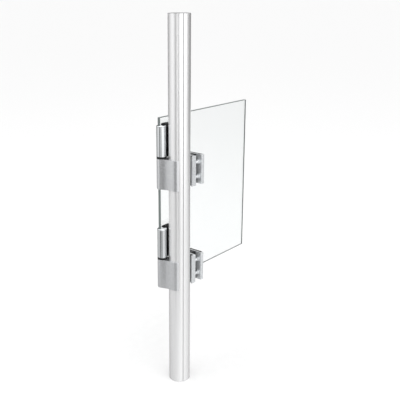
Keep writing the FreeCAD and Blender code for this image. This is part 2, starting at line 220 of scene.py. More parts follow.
def raised(name, outline, start, end, rim=0.3 * MM, along="z", hole=None):
    """Solid raised from an outline along one axis, with rounded rims. A hole
    is a second outline with as many points, which becomes an inner wall."""
    outline = anticlockwise(np.array(outline, float))
    flat, heights = rim_rows(outline, start, end, rim)
    if hole is not None:
        inner, inner_heights = rim_rows(anticlockwise(np.array(hole, float)), start, end, -rim)
        flat = np.concatenate([flat, inner[::-1]])
        heights = np.concatenate([heights, inner_heights[::-1]])
    rows, columns = flat.shape[:2]
    points = np.empty((rows, columns, 3))
    first, second, third = PLANES[along]
    points[..., first] = flat[..., 0]
    points[..., second] = flat[..., 1]
    points[..., third] = heights
    faces = grid_faces(rows, columns, close_rows=hole is not None)
    if hole is None:
        faces.append(list(range(columns))[::-1])
        faces.append(list(range((rows - 1) * columns, rows * columns)))
    return piece_from_mesh(name, points.reshape(-1, 3), faces)


def rectangle(x0, x1, y0, y1, radius=0.0, steps=5):
    """Rectangle with rounded corners."""
    return rounded([(x0, y0), (x1, y0), (x1, y1), (x0, y1)], radius, steps)


def arc(centre, radius, start, end, steps):
    """Points on a circle from one angle to another, in radians."""
    turn = np.linspace(start, end, steps)
    return np.array(centre) + radius * np.stack([np.cos(turn), np.sin(turn)], 1)


def polar(radius, angle):
    """Point at a radius and an angle about the post."""
    return radius * np.array((np.cos(angle), np.sin(angle)))


# %% [markdown]
# ## Holes
# A hole is made as a drill makes it: a round tool is taken away from the
# piece with a Boolean modifier, which is applied at once so that the finished
# mesh has real walls inside. The same step also joins two closed shapes. A
# drill reaches some way beyond the piece, because a tool that ends just on a
# face leaves the step nothing clear to cut.

# %% Drilling and joining
BEYOND = 5 * MM


def combine(piece, tool, operation):
    """Applies one Boolean step to a piece at once, and removes the tool."""
    modifier = piece.modifiers.new("combine", "BOOLEAN")
    modifier.operation = operation
    modifier.solver = "EXACT"
    modifier.object = tool
    graph = bpy.context.evaluated_depsgraph_get()
    mesh = bpy.data.meshes.new_from_object(piece.evaluated_get(graph))
    piece.modifiers.clear()
    old = piece.data
    piece.data = mesh
    bpy.data.meshes.remove(old)
    mesh.name = piece.name
    bpy.data.objects.remove(tool)
    shade(mesh)
    return piece


def drill(piece, cuts, steps=64):
    """Takes round tools away from a piece. A cut is a start, an end and a
    radius. Six steps make the tool a hexagon."""
    for start, end, radius in cuts:
        start, end = np.array(start, float), np.array(end, float)
        length = np.linalg.norm(end - start)
        direction = next(k for k, v in AXES.items() if np.allclose((end - start) / length, v, atol=1e-6))
        tool = turned("drill", [(0, 0), (radius, 0), (radius, length), (0, length)], start, direction, steps)
        piece = combine(piece, tool, "DIFFERENCE")
    return piece


def crisp(piece):
    """Keeps broad faces evenly lit beside their small rounds, by letting the
    larger face set the normal where the two meet."""
    modifier = piece.modifiers.new("weighted", "WEIGHTED_NORMAL")
    modifier.keep_sharp = True
    return piece


def faces_of(piece):
    """Middles and normals of a piece's faces, as two arrays of rows."""
    centres, normals = np.empty((2, len(piece.data.polygons) * 3))
    piece.data.polygons.foreach_get("center", centres)
    piece.data.polygons.foreach_get("normal", normals)
    return centres.reshape(-1, 3), normals.reshape(-1, 3)


def second_finish(piece, chosen):
    """Gives the chosen faces of a piece the second of its two finishes."""
    piece.data.polygons.foreach_set("material_index", chosen.astype(np.int32))
    print(piece.name, "faces with the second finish:", int(chosen.sum()), "of", len(chosen))


def place(piece, body, node, slot, *materials):
    """Gives a finished piece its finish and its body, and hides the CAD piece
    that it stands for."""
    for material in materials:
        piece.data.materials.append(material)
    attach(piece, body)
    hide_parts(node)
    return piece


# %% [markdown]
# ## Metal finishes
# All finishes are node materials on Object coordinates, which stay put when
# the door swings. Drawn aluminium has fine lines along the post, so its noise
# is stretched along Z: a small scale across, a much smaller one along. The
# same noise moves the roughness a little and lifts the surface by a hair.

# %% Node helpers
def node_adder(tree):
    """Function that adds a node to a tree. Each input is either a value or
    another node's output, which is then linked."""
    def add(kind, inputs=None, **settings):
        node = tree.nodes.new(kind)
        for key, value in settings.items():
            setattr(node, key, value)
        for key, value in (inputs or {}).items():
            if isinstance(value, bpy.types.NodeSocket):
                tree.links.new(value, node.inputs[key])
            else:
                node.inputs[key].default_value = value
        return node
    return add


def new_material(name):
    """Node material, its Principled shader, and functions that add and link."""
    material = bpy.data.materials.new(name)
    material.use_nodes = True
    tree = material.node_tree
    return material, tree.nodes["Principled BSDF"], node_adder(tree), tree.links.new


def stretched_noise(add, scale, detail=3.0):
    """Noise whose grain is as fine along each axis as the three scales say."""
    coordinates = add("ShaderNodeTexCoord").outputs["Object"]
    mapping = add("ShaderNodeMapping", {"Vector": coordinates, "Scale": scale})
    noise = add("ShaderNodeTexNoise", {"Vector": mapping.outputs["Vector"], "Scale": 1.0, "Detail": detail,
                                       "Roughness": 0.6})
    return noise.outputs["Fac"]


def between(add, value, low, high):
    """Maps noise, which mostly lies from 0.3 to 0.7, to a range."""
    node = add("ShaderNodeMapRange", {"Value": value, "From Min": 0.3, "From Max": 0.7, "To Min": low, "To Max": high})
    return node.outputs["Result"]


def tint(add, value, dark, light):
    """Colour between two, chosen by a value from 0 to 1."""
    node = add("ShaderNodeMix", {"Factor": value, "A": (*dark, 1), "B": (*light, 1)}, data_type="RGBA")
    return node.outputs["Result"]


RELIEF = 0.05 * MM


def finish(name, dark, light, grain, roughness, lift, mirror=1.0, gloss=0.5):
    """Surface whose colour, roughness and relief follow one stretched noise.
    mirror is the share of the light that it reflects as a metal. A finely
    pitted skin, such as anodising or zinc, scatters the rest. gloss is the
    strength of what is not metal."""
    material, shader, add, link = new_material(name)
    noise = stretched_noise(add, grain)
    link(tint(add, between(add, noise, 0, 1), dark, light), shader.inputs["Base Color"])
    link(between(add, noise, *roughness), shader.inputs["Roughness"])
    bump = add("ShaderNodeBump", {"Height": noise, "Strength": lift, "Distance": RELIEF})
    link(bump.outputs["Normal"], shader.inputs["Normal"])
    shader.inputs["Metallic"].default_value = mirror
    shader.inputs["Specular IOR Level"].default_value = gloss
    return material


# %% The metals
drawn_aluminium = finish("drawn_aluminium", (0.85, 0.85, 0.855), (0.90, 0.90, 0.905), (700, 700, 6),
                         (0.19, 0.25), 0.02, mirror=0.62)
# Bare, dull metal inside the seams, in the bore and on the sawn ends. Its colour is painted much darker than bare
# aluminium, as painted shade.
bare_metal_painted_shade = finish("bare_metal_painted_shade", (0.20, 0.20, 0.205), (0.32, 0.32, 0.325), (500, 500, 20),
                        (0.45, 0.6), 0.1, mirror=0.7)
cast_aluminium = finish("cast_aluminium", (0.64, 0.65, 0.665), (0.72, 0.73, 0.745), (1800, 1800, 1800),
                        (0.2, 0.3), 0.25, mirror=0.82)
turned_aluminium = finish("turned_aluminium", (0.68, 0.70, 0.715), (0.77, 0.79, 0.805), (60, 60, 2500),
                          (0.07, 0.12), 0.03)
zinc_plate = finish("zinc_plate", (0.56, 0.58, 0.595), (0.90, 0.92, 0.935), (420, 420, 420),
                    (0.3, 0.46), 0.2, mirror=0.5)
machine_steel = finish("machine_steel", (0.42, 0.42, 0.43), (0.60, 0.60, 0.61), (600, 600, 2500),
                       (0.2, 0.34), 0.1)


# %% [markdown]
# ## Plastic, rubber and glass
# Moulded plastic has a fine spark-eroded grain, so its bump is the same in
# every direction. Rubber is rougher and never quite black. Glass is clear on
# its faces, but its ground edges scatter the light and look grey.

# %% Plastic, rubber and glass
black_plastic = finish("black_plastic", (0.006, 0.0065, 0.007), (0.014, 0.015, 0.016), (1400, 1400, 1400),
                       (0.36, 0.5), 0.25, mirror=0, gloss=0.3)
soft_rubber = finish("soft_rubber", (0.02, 0.02, 0.02), (0.035, 0.035, 0.035), (900, 900, 900),
                     (0.7, 0.85), 0.3, mirror=0)
ground_glass = finish("ground_glass", (0.13, 0.155, 0.15), (0.19, 0.215, 0.21), (1600, 1600, 1600),
                      (0.3, 0.45), 0.3, mirror=0)


def pane_glass():
    """Clear glass with the faint unevenness of float glass."""
    material, shader, add, link = new_material("pane_glass")
    noise = stretched_noise(add, (9, 9, 9), detail=1.0)
    bump = add("ShaderNodeBump", {"Height": noise, "Strength": 0.02, "Distance": 0.1 * MM})
    link(bump.outputs["Normal"], shader.inputs["Normal"])
    shader.inputs["Base Color"].default_value = (0.95, 0.965, 0.965, 1)
    shader.inputs["Roughness"].default_value = 0.0
    shader.inputs["IOR"].default_value = 1.5
    shader.inputs["Transmission Weight"].default_value = 1.0
    return material


clear_glass = pane_glass()

# %% [markdown]
# ## The post
# A drawn tube whose front is closed by a strip that clips in. Only the two
# seams show, as fine dark lines along the whole height, so the gap must be
# real: a line painted on would not darken as the light moves round. Inside
# the seams, in the bore and on the sawn ends the metal is bare and dull, and
# its colour there is painted much darker than bare aluminium: painted shade
# that deepens the seams and the ends on top of the real gap.

# %% Sizes of the post
post_radius, _, post_length = corners("post_tube")[1]
post_wall = 4.0 * MM
cover_thickness = 1.8 * MM
cover_clearance = 0.1 * MM
cover_half_angle = np.radians(60.0)
seam_gap = 0.6 * MM
seam_chamfer = 0.45 * MM
sawn_rim = 0.25 * MM
cover_points, back_points, recess_points = 161, 181, 141
skin = 0.5 * MM
end_normal = 0.5
FRONT = -np.pi / 2
print("post radius and length in mm:", round(post_radius / MM, 2), round(post_length / MM, 2))


# %% Tube and cover strip
def post_cover():
    """Strip between two arcs, with its outer corners cut back at the seams."""
    cut = seam_chamfer / post_radius
    inner = post_radius - cover_thickness
    outer_arc = arc((0, 0), post_radius, FRONT - cover_half_angle + cut, FRONT + cover_half_angle - cut,
                    cover_points)
    inner_arc = arc((0, 0), inner, FRONT + cover_half_angle, FRONT - cover_half_angle, cover_points)
    right = polar(post_radius - seam_chamfer, FRONT + cover_half_angle)
    left = polar(post_radius - seam_chamfer, FRONT - cover_half_angle)
    outline = np.concatenate([outer_arc, [right], inner_arc, [left]])
    return raised("post_cover_strip", outline, 0, post_length, rim=sawn_rim)


def post_tube():
    """Tube whose outer wall drops to the recess's floor along the front. Its
    bore has as many points as its outline."""
    spread = cover_half_angle + seam_gap / post_radius
    recess = post_radius - cover_thickness - cover_clearance
    cut = seam_chamfer / post_radius
    back = arc((0, 0), post_radius, FRONT + spread + cut, FRONT - spread - cut + 2 * np.pi, back_points)
    left = polar(post_radius - seam_chamfer, FRONT - spread)
    front = arc((0, 0), recess, FRONT - spread, FRONT + spread, recess_points)
    right = polar(post_radius - seam_chamfer, FRONT + spread)
    outline = np.concatenate([back, [left], front, [right]])
    start = FRONT + spread + cut
    bore = arc((0, 0), post_radius - post_wall, start, start + 2 * np.pi, len(outline) + 1)[:-1]
    return raised("post_tube_drawn", outline, 0, post_length, rim=sawn_rim, hole=bore)


def bare_shaded_faces(piece):
    """Chooses the faces for the dark bare finish, whose colour is partly painted
    shade: the sawn ends, whose normals point up or down, and every upright
    face whose middle lies deeper than the post's skin."""
    centres, normals = faces_of(piece)
    radius = np.hypot(centres[:, 0], centres[:, 1])
    return (np.abs(normals[:, 2]) > end_normal) | (radius < post_radius - skin)


for name, piece in (("post_cover", post_cover()), ("post_tube", post_tube())):
    place(crisp(piece), "frame", name, "anodised_aluminium", drawn_aluminium, bare_metal_painted_shade)
    # The seams, the bore and the sawn ends get the darker finish, which is painted shade.
    second_finish(piece, bare_shaded_faces(piece))

# %% [markdown]
# ## The cast leaf
# Seen from above, the leaf is a knuckle for the pin that flows in two hollows
# into a band round the post's front. The hollows are arcs that touch both the
# knuckle and the band, so their centres stand at the sum of the radii from
# both, which is where two circles cross.

# %% Sizes of the hinge
flange_low, flange_high = corners("lower_bush")
axis = (flange_low[:2] + flange_high[:2]) / 2
knuckle_radius = (flange_high[0] - flange_low[0]) / 2
fit = 0.05 * MM
leaf_inner = post_radius + fit
leaf_thickness = 3.0 * MM
leaf_outer = leaf_inner + leaf_thickness
lip_angle = np.radians(-51.6)
lip_length = 4.0 * MM
lip_edge = 1.0 * MM
lip_bulge = 0.4 * MM
front_hollow = 60.0 * MM
rear_hollow = 6.0 * MM
pin_radius = 5.0 * MM
print("hinge axis in mm:", np.round(axis / MM, 2), "knuckle radius", round(knuckle_radius / MM, 2))


def bearing(vector):
    """Angle of a flat vector from +X."""
    return np.arctan2(vector[1], vector[0])


def short_way(angle):
    """The same turn, taken the short way round."""
    return (angle + np.pi) % (2 * np.pi) - np.pi


def hollow_centre(radius, side):
    """Centre of an arc that touches the band and the knuckle from outside, by
    the law of cosines, and its bearing from the post."""
    span = np.hypot(*axis)
    to_post = leaf_outer + radius
    to_knuckle = knuckle_radius + radius
    share = (to_post ** 2 + span ** 2 - to_knuckle ** 2) / (2 * to_post * span)
    angle = bearing(axis) + side * np.arccos(share)
    return polar(to_post, angle), angle


def hollow_arc(centre, radius, first_target, second_target, steps=40):
    """Arc about a centre from the side that faces one point to the side that
    faces another."""
    start = bearing(first_target - centre)
    return arc(centre, radius, start, start + short_way(bearing(second_target - centre) - start), steps)


def bowed(start, end, bulge, steps=14):
    """Shallow arc between two points, raised off the straight line by
    4 * bulge * t * (1 - t) away from the post."""
    share = np.linspace(0, 1, steps)[:, None]
    straight = start + share * (end - start)
    outward = (start + end) / np.linalg.norm(start + end)
    return straight + 4 * bulge * share * (1 - share) * outward


def leaf_outline():
    """Closed section of the leaf: band, front hollow, knuckle, rear hollow,
    inner face and the lip, which slopes down to a thin end."""
    front, front_angle = hollow_centre(front_hollow, 1)
    rear, rear_angle = hollow_centre(rear_hollow, -1)
    post = np.zeros(2)
    outward = bearing(axis)
    knuckle_start = outward + short_way(bearing(front - axis) - outward)
    knuckle_end = outward + short_way(bearing(rear - axis) - outward)
    lip_start = lip_angle - lip_length / leaf_outer
    return np.concatenate([
        arc(post, leaf_outer, lip_start, front_angle, 50)[1:],
        hollow_arc(front, front_hollow, post, axis)[1:],
        arc(axis, knuckle_radius, knuckle_start, knuckle_end, 80)[1:],
        hollow_arc(rear, rear_hollow, axis, post)[1:],
        arc(post, leaf_inner, rear_angle, lip_angle, 60),
        bowed(polar(leaf_inner + lip_edge, lip_angle), polar(leaf_outer, lip_start), lip_bulge),
    ])


# %% [markdown]
# Two bolts hold the leaf from behind, through the post. In the CAD they end in
# bosses that the post hides, so the surface made here needs only their heights.

# %% The leaf, with its bolts' places
def bolt_heights(side):
    """Heights of the two bolts through the post, at equal distances from the
    leaf's ends."""
    low, high = corners(side + "_frame_leaf")
    edge = 7.5 * MM
    return low[2] + edge, high[2] - edge


def hinge_bore(low, high, radius):
    """Cut along the hinge's axis, past both ends of a piece."""
    return (*axis, low[2] - BEYOND), (*axis, high[2] + BEYOND), radius


def frame_leaf(side):
    """Leaf raised from its section, with a bore for the pin."""
    low, high = corners(side + "_frame_leaf")
    leaf = raised(side + "_leaf_casting", leaf_outline(), low[2], high[2], rim=0.3 * MM)
    return drill(leaf, [hinge_bore(low, high, pin_radius + fit)])


for side in SIDES:
    leaf = place(crisp(frame_leaf(side)), "frame", side + "_frame_leaf", "cast_aluminium", cast_aluminium)
    print(leaf.name, "faces:", len(leaf.data.polygons))

# %% [markdown]
# ## Pin, bush and barrel
# The pin is pressed into the knuckle and stands up. The bush is a black
# plastic sleeve with a flange, on which the barrel turns: the flange is the
# dark ring between leaf and barrel. The barrel's cap closes the bore.

# %% Turned pieces of the hinge
bore_radius = 6.6 * MM
bush_radius = bore_radius - fit


def disc_profile(outer, low, high, rim_low, rim_high):
    """Open profile of a solid disc, from axis to axis, with rounded rims."""
    return rounded([(0, low), (outer, low), (outer, high), (0, high)], (0, rim_low, rim_high, 0), closed=False)


def hinge_pin(side):
    """Pin with rounded ends."""
    low, high = corners(side + "_hinge_pin")
    return turned(side + "_pin_turned", disc_profile(pin_radius, low[2], high[2], 0.9 * MM, 0.9 * MM), (*axis, 0))


def bush(side):
    """Sleeve and flange in one closed profile."""
    low, high = corners(side + "_bush")
    flange_top = corners(side + "_barrel")[0][2]
    inner = pin_radius + fit
    profile = rounded([(inner, low[2]), (knuckle_radius, low[2]), (knuckle_radius, flange_top),
                       (bush_radius, flange_top), (bush_radius, high[2]), (inner, high[2])],
                      (0.1 * MM, 0.5 * MM, 0.5 * MM, 0.1 * MM, 0.3 * MM, 0.1 * MM))
    return turned(side + "_bush_moulded", profile, (*axis, 0))


def barrel_cap(side):
    """Cap with a chamfer and the spigot that closes the barrel."""
    low, high = corners(side + "_barrel_cap")
    seat = corners(side + "_barrel")[1][2] + 0.2 * MM
    chamfer = 1.1 * MM
    profile = rounded([(0, low[2]), (bush_radius, low[2]), (bush_radius, seat), (knuckle_radius, seat),
                       (knuckle_radius, high[2] - chamfer), (knuckle_radius - chamfer, high[2]), (0, high[2])],
                      (0, 0.4 * MM, 0.05 * MM, 0.15 * MM, 0.3 * MM, 0.3 * MM, 0), closed=False)
    return turned(side + "_cap_turned", profile, (*axis, 0), steps=128)


# %% [markdown]
# The barrel's tongue is a flat arm that the carrier hides. It is joined to the
# round barrel with a Boolean union, and the bore is drilled last, so that the
# tongue doesn't block it. The same arm, a hair larger, later cuts its own
# pocket into the carrier.

# %% Barrel with its tongue
screw_radius = 3.0 * MM
screw_room = 0.2 * MM
clamp_inset = 23.0 * MM
clamp_depth = corners("glass_panel")[0][1] + clamp_inset
tongue_offset = 4.2 * MM
tongue_thickness = 4.0 * MM
tongue_inset = 6.0 * MM
tongue_room = 0.1 * MM


def clamp_heights(side):
    """Heights of the two screws through the glass, near the tongue's ends."""
    low, high = corners(side + "_barrel")
    edge = 13.0 * MM
    return low[2] + edge, high[2] - edge


def clamp_cuts(start, end, heights, radius):
    """Cuts along X at the depth of the clamp screws, one at each height."""
    return [((start, clamp_depth, z), (end, clamp_depth, z), radius) for z in heights]


def tongue(side, front, room=0.0):
    """Flat arm from a given front to the tongue's end, widened all round by
    some room when it serves as the tool for its own pocket."""
    low, high = corners(side + "_barrel")
    near = corners(side + "_carrier")[0][0] + tongue_offset
    outline = rectangle(near - room, near + tongue_thickness + room, front, high[1] + room)
    return raised("tongue", outline, low[2] + tongue_inset - room, high[2] - tongue_inset + room)


def barrel(side):
    """Round barrel, tongue, bore and screw holes."""
    low, high = corners(side + "_barrel")
    body = turned(side + "_barrel_turned", disc_profile(knuckle_radius, low[2], high[2], 0.3 * MM, 0.3 * MM),
                  (*axis, 0), steps=128)
    body = combine(body, tongue(side, axis[1] + bore_radius / 2), "UNION")
    carrier_low, carrier_high = corners(side + "_carrier")
    screws = clamp_cuts(carrier_low[0], carrier_high[0], clamp_heights(side), screw_radius + fit)
    return drill(body, [hinge_bore(low, high, bore_radius), *screws])


for side in SIDES:
    place(crisp(hinge_pin(side)), "frame", side + "_hinge_pin", "turned_steel", machine_steel)
    place(crisp(bush(side)), "door", side + "_bush", "black_plastic", black_plastic)
    place(crisp(barrel_cap(side)), "door", side + "_barrel_cap", "turned_aluminium", turned_aluminium)
    place(crisp(barrel(side)), "door", side + "_barrel", "turned_aluminium", turned_aluminium)

# %% [markdown]
# ## Carrier, gaskets and glass
# The carrier is a moulded block with a half-round top, hollowed at its front
# for the barrel. Two rubber gaskets and a plate on the far side of the glass
# complete the grip.

# %% Carrier
barrel_room = 0.15 * MM
arch_foot = 9.0 * MM
arch_corner = 0.9 * MM


def carrier(side):
    """Arched block along Y, with room for the barrel and the tongue's screws."""
    low, high = corners(side + "_carrier")
    radius = (high[0] - low[0]) / 2
    middle = (low[0] + high[0]) / 2
    arch = arc((middle, high[2] - radius), radius, 0, np.pi, 49)
    foot = rounded([(low[0], low[2]), (high[0], low[2]), (high[0], low[2] + arch_foot),
                    (low[0], low[2] + arch_foot)], (arch_corner, arch_corner, 0, 0))[:-2]
    block = raised(side + "_carrier_moulded", np.concatenate([arch, foot]), low[1], high[1], rim=0.5 * MM, along="y")
    block = drill(block, [hinge_bore(low, high, knuckle_radius + barrel_room)])
    block = combine(block, tongue(side, axis[1], tongue_room), "DIFFERENCE")
    return drill(block, clamp_cuts(low[0] - BEYOND, middle, clamp_heights(side), screw_radius + screw_room))


def sheet_piece(name, node, rim):
    """Flat piece that fills its CAD box, drilled for the two clamp screws."""
    low, high = corners(node)
    outline = rectangle(low[1], high[1], low[2], high[2], 1.2 * MM)
    piece = raised(name, outline, low[0], high[0], rim=rim, along="x")
    heights = clamp_heights(node.split("_")[0])
    return drill(piece, clamp_cuts(low[0] - BEYOND, high[0] + BEYOND, heights, screw_radius + screw_room))


for side in SIDES:
    place(crisp(carrier(side)), "door", side + "_carrier", "black_plastic", black_plastic)
    for layer in ("inner_gasket", "outer_gasket"):
        gasket = sheet_piece(f"{side}_{layer}_rubber", f"{side}_{layer}", rim=0.2 * MM)
        place(crisp(gasket), "door", f"{side}_{layer}", "soft_rubber", soft_rubber)
    plate = sheet_piece(side + "_clamp_plate_rounded", side + "_clamp_plate", rim=0.9 * MM)
    place(crisp(plate), "door", side + "_clamp_plate", "turned_aluminium", turned_aluminium)

# %% [markdown]
# The pane gets two materials. Its two broad sides are clear, but the edges
# and the holes' walls are ground. They are told apart by the way they face.

# %% Glass
pane_hole_radius = 5.0 * MM
broad_normal = 0.98


def glass_panel():
    """Pane with the four holes for the clamp screws."""
    low, high = corners("glass_panel")
    outline = rectangle(low[1], high[1], low[2], high[2], 1.0 * MM)
    pane = raised("door_glass", outline, low[0], high[0], rim=0.6 * MM, along="x")
    heights = [z for side in SIDES for z in clamp_heights(side)]
    return drill(pane, clamp_cuts(low[0] - BEYOND, high[0] + BEYOND, heights, pane_hole_radius))


pane = place(crisp(glass_panel()), "door", "glass_panel", "clear_glass", clear_glass, ground_glass)
second_finish(pane, np.abs(faces_of(pane)[1][:, 0]) < broad_normal)


# %% [markdown]
# ## Screws
# A screw's thread is a ridge that climbs one pitch for each turn. On a lathe
# surface that is a radius lowered by a triangle wave of height divided by
# pitch minus turn divided by a full turn, so the same formula that turns the
# shank also cuts its thread.

# %% Threads, heads and groups
screw_pitch = 1.0 * MM
screw_socket = 2.25 * MM
head_height = 3.2 * MM
head_overhang = 2.4 * MM
bolt_radius = 2.5 * MM
bolt_sink = 2.5 * MM
bolt_socket = 1.88 * MM
SAME_RADIUS = 0.01 * MM


def thread(start, end, outer, pitch=screw_pitch, depth=0.45 * MM):
    """Cut depth of a thread between two heights of a shank."""
    def cut(radius, height, turn):
        phase = np.mod(height / pitch - turn / (2 * np.pi), 1)
        wave = 1 - np.abs(2 * phase - 1)
        ends = np.clip((height - start) / pitch, 0, 1) * np.clip((end - height) / pitch, 0, 1)
        return depth * wave * ends * (np.abs(radius - outer) < SAME_RADIUS)
    return cut


def shank_rows(radius, start, end, pitch=screw_pitch, rows_per_pitch=8):
    """Profile points along a threaded shank, so many to each pitch."""
    count = int(round((end - start) / pitch * rows_per_pitch)) + 1
    return [(radius, height) for height in np.linspace(start, end, count)]


def together(name, pieces):
    """Several solids as one object, as the CAD groups them."""
    work = bmesh.new()
    for piece in pieces:
        work.from_mesh(piece.data)
        bpy.data.objects.remove(piece)
    mesh = bpy.data.meshes.new(name)
    work.to_mesh(mesh)
    work.free()
    shade(mesh)
    return into_scene(name, mesh)


def socket(screw, face, direction, size, depth=1.6 * MM):
    """Hexagon socket, cut into a head from its outer face."""
    run = np.array(AXES[direction], float)
    face = np.array(face, float)
    return drill(screw, [(face - run * depth, face + run * BEYOND, size)], steps=6)


def head_profile(seat):
    """Pan head from its seat outwards, with a rounded rim."""
    outer, top = screw_radius + head_overhang, seat + head_height
    return rounded([(screw_radius, seat), (outer, seat), (outer, top), (0, top)],
                   (0.1 * MM, 0.2 * MM, 1.05 * MM, 0), closed=False)


# %% [markdown]
# Panel screws cross the gap of the clamp, where their threads can be seen.
# Each has a collar that backs the jaw.

# %% The three kinds of screw
def panel_screw_spots(side):
    """Place across and the two heights of the panel screws."""
    low, high = corners(side + "_panel_screws")
    jaw_low, jaw_high = corners(side + "_jaw")
    edge = 15.0 * MM
    return (low[0] + high[0]) / 2, (jaw_low[2] + edge, jaw_high[2] - edge)


def panel_screws(side):
    """Threaded shank, collar and pan head along +Y."""
    low, high = corners(side + "_panel_screws")
    jaw_low, jaw_high = corners(side + "_jaw")
    collar, collar_length, collar_edge = 4.5 * MM, 3.5 * MM, 0.4 * MM
    middle, heights = panel_screw_spots(side)
    length = jaw_low[1] - collar_length - low[1]
    seat = jaw_high[1] - low[1]
    stop = length + collar_length
    profile = np.concatenate([
        [(0, 0)], shank_rows(screw_radius, 0, length),
        [(collar - collar_edge, length), (collar, length + collar_edge), (collar, stop), (screw_radius, stop)],
        head_profile(seat)])
    screws = []
    for z in heights:
        screw = turned("screw", profile, (middle, low[1], z), "+y", 48, thread(0, length, screw_radius))
        screws.append(socket(screw, (middle, high[1], z), "+y", screw_socket))
    return together(side + "_panel_screws_threaded", screws)


def clamp_screws(side):
    """Shank through the glass and pan head along -X."""
    low, high = corners(side + "_clamp_screws")
    threaded = 4 * MM
    depth = (low[1] + high[1]) / 2
    profile = np.concatenate([[(0, 0)], shank_rows(screw_radius, 0, threaded),
                              head_profile(high[0] - low[0] - head_height)])
    screws = []
    for z in clamp_heights(side):
        screw = turned("screw", profile, (high[0], depth, z), "-x", 48, thread(0, threaded, screw_radius))
        screws.append(socket(screw, (low[0], depth, z), "-x", screw_socket))
    return together(side + "_clamp_screws_headed", screws)


def frame_bolts(side):
    """Countersunk bolt through the post, along +Y."""
    low, high = corners(side + "_frame_bolts")
    length = high[1] - low[1]
    threaded = 6 * MM
    head = [(bolt_radius, length - bolt_sink), (bolt_radius + bolt_sink, length), (0, length)]
    profile = np.concatenate([[(0, 0)], shank_rows(bolt_radius, 0, threaded), head])
    bolts = []
    for z in bolt_heights(side):
        bolt = turned("bolt", profile, (0, low[1], z), "+y", 48, thread(0, threaded, bolt_radius))
        bolts.append(socket(bolt, (0, high[1], z), "+y", bolt_socket))
    return together(side + "_frame_bolts_sunk", bolts)


for side in SIDES:
    place(crisp(panel_screws(side)), "frame", side + "_panel_screws", "zinc_steel", zinc_plate)
    place(crisp(clamp_screws(side)), "door", side + "_clamp_screws", "turned_steel", machine_steel)
    place(crisp(frame_bolts(side)), "frame", side + "_frame_bolts", "turned_steel", machine_steel)

# %% [markdown]
# ## The clamp behind the post
# Two folded steel channels with moulded blocks between them. A folded sheet
# has round outer corners and tight inner ones, and that difference is what
# tells the eye it is bent sheet and not a block.

# %% Folded channels
bracket_sheet = 3.5 * MM
jaw_sheet = 2.5 * MM
folded_rim = 0.25 * MM


def depth_cuts(x, start, end, heights, radius):
    """Cuts along Y from one depth to another, one at each height."""
    return [((x, start, z), (x, end, z), radius) for z in heights]


def channel_outline(x0, x1, web, lip, sheet):
    """Section of a channel: its web stands at one depth, its two lips reach to
    another. Outer bends have a larger radius than inner ones."""
    way = np.sign(lip - web)
    inner = web + way * sheet
    corner_points = [(x0, lip), (x0, web), (x1, web), (x1, lip), (x1 - sheet, lip), (x1 - sheet, inner),
                     (x0 + sheet, inner), (x0 + sheet, lip)]
    outer_bend, inner_bend, edge = 1.5 * MM, 0.4 * MM, 0.4 * MM
    return rounded(corner_points, (edge, outer_bend, outer_bend, edge, edge, inner_bend, inner_bend, edge), steps=7)


def bracket(side):
    """Channel on the post's back, its lips facing forwards. Only its web is
    drilled, so the tools start just in front of it."""
    low, high = corners(side + "_bracket")
    outline = channel_outline(low[0], high[0], high[1], low[1], bracket_sheet)
    piece = raised(side + "_bracket_folded", outline, low[2], high[2], rim=folded_rim)
    screw_x, heights = panel_screw_spots(side)
    start, end = high[1] - bracket_sheet - 0.1 * MM, high[1] + BEYOND
    cuts = depth_cuts(screw_x, start, end, heights, screw_radius + fit)
    cuts += depth_cuts(0, start, end, bolt_heights(side), bolt_radius + screw_room)
    return countersunk(drill(piece, cuts), side, high[1])


def countersunk(piece, side, back):
    """Cones for the heads of the two bolts: the cone's radius grows by as
    much as its height, up to the web's back."""
    narrow = bolt_radius + fit
    wide, top = narrow + bolt_sink, bolt_sink + BEYOND
    for z in bolt_heights(side):
        cone = turned("cone", [(0, 0), (narrow, 0), (wide, bolt_sink), (wide, top), (0, top)],
                      (0, back - bolt_sink, z), "+y", 64)
        piece = combine(piece, cone, "DIFFERENCE")
    return piece


def jaw(side):
    """Channel that presses the panel, its lips facing backwards."""
    low, high = corners(side + "_jaw")
    outline = channel_outline(low[0], high[0], low[1], high[1], jaw_sheet)
    piece = raised(side + "_jaw_folded", outline, low[2], high[2], rim=folded_rim)
    screw_x, heights = panel_screw_spots(side)
    return drill(piece, depth_cuts(screw_x, low[1] - BEYOND, high[1], heights, screw_radius + screw_room))


# %% [markdown]
# The moulded blocks fill the channels. The saddle's front is hollowed to the
# post's own radius, so its section is a rectangle that an arc bites into.

# %% Moulded blocks
def saddle(side):
    """Block between bracket and post."""
    low, high = corners(side + "_saddle")
    seat = post_radius + fit
    start = np.pi - np.arcsin(low[1] / seat)
    end = np.arccos(high[0] / seat)
    corner_points = [(high[0], high[1]), (low[0], high[1]), (low[0], low[1])]
    outline = np.concatenate([arc((0, 0), seat, start, end, 60), corner_points])
    piece = raised(side + "_saddle_moulded", outline, low[2], high[2], rim=0.3 * MM)
    return drill(piece, depth_cuts(0, low[1], high[1] + BEYOND, bolt_heights(side), bolt_radius + screw_room))


def block(name, node, radii):
    """Moulded block that fills its CAD box."""
    low, high = corners(node)
    outline = rectangle(low[0], high[0], low[1], high[1], radii, steps=6)
    return raised(name, outline, low[2], high[2], rim=0.4 * MM)


def jaw_core(side):
    """Filling of the jaw, drilled for the panel screws."""
    low, high = corners(side + "_jaw_core")
    piece = block(side + "_jaw_core_moulded", side + "_jaw_core", 0.6 * MM)
    screw_x, heights = panel_screw_spots(side)
    return drill(piece, depth_cuts(screw_x, low[1] - BEYOND, high[1] + BEYOND, heights, screw_radius + screw_room))


